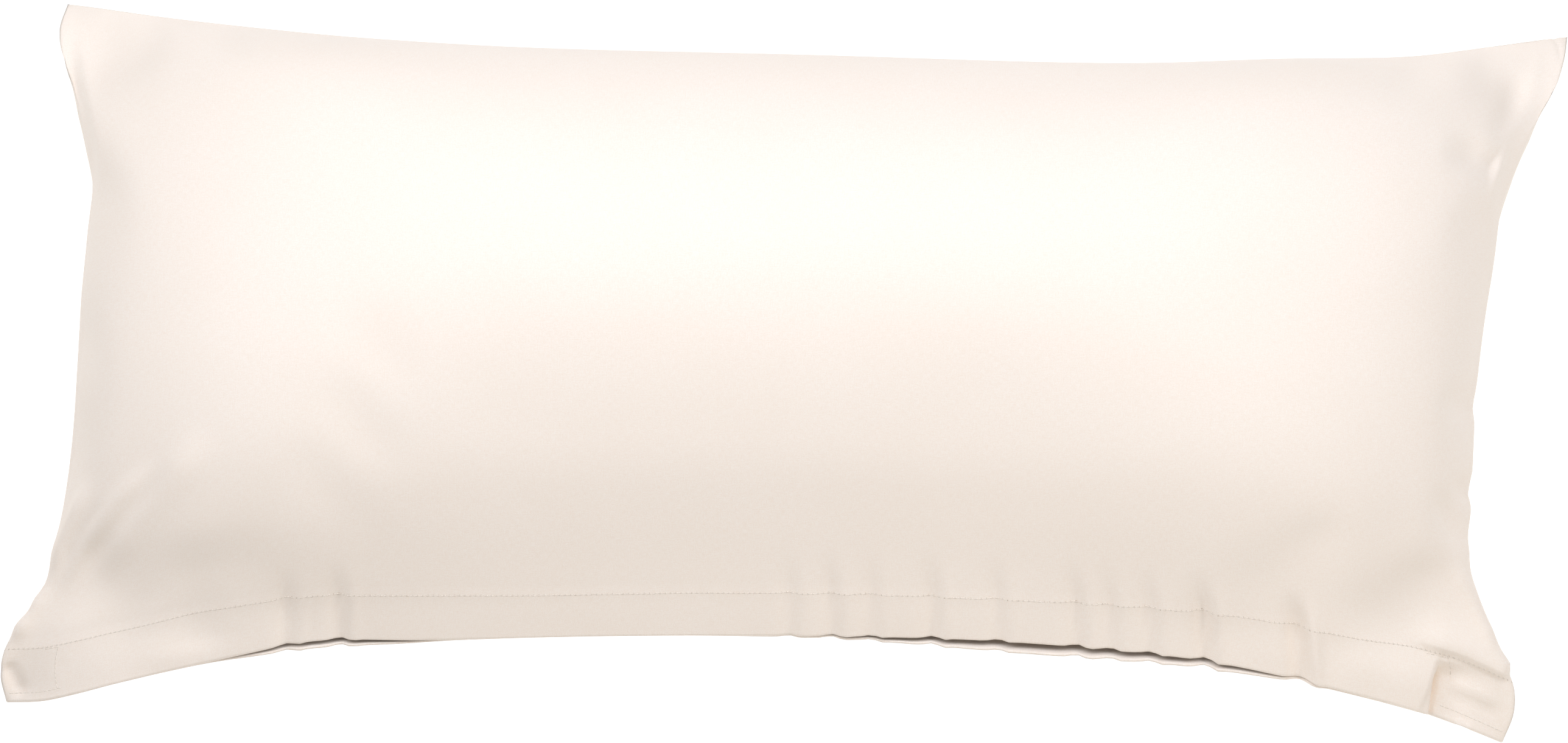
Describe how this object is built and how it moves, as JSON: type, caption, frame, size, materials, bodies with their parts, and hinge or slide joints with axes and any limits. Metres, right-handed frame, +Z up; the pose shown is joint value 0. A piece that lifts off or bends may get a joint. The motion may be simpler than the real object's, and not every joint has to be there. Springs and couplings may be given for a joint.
{
  "type": "pillowcase",
  "caption": "Satin pillowcase shown filled: crowned body, pinched corners, drawn-in sides and a hemmed mouth with an open slit along one long side.",
  "frame": {"origin": "middle of the bounding box's underside, on the surface that the case lies on", "axes": "+X along the long side, +Y from the hemmed mouth to the folded edge, +Z up out of the front panel"},
  "size_m": [0.8254, 0.3928, 0.1795],
  "materials": {
    "cotton_satin": "plain cream cotton satin, fine weave, soft sheen, cream thread"
  },
  "bodies": {
    "root": {"pillowcase": "cotton_satin"}
  },
  "joints": []
}
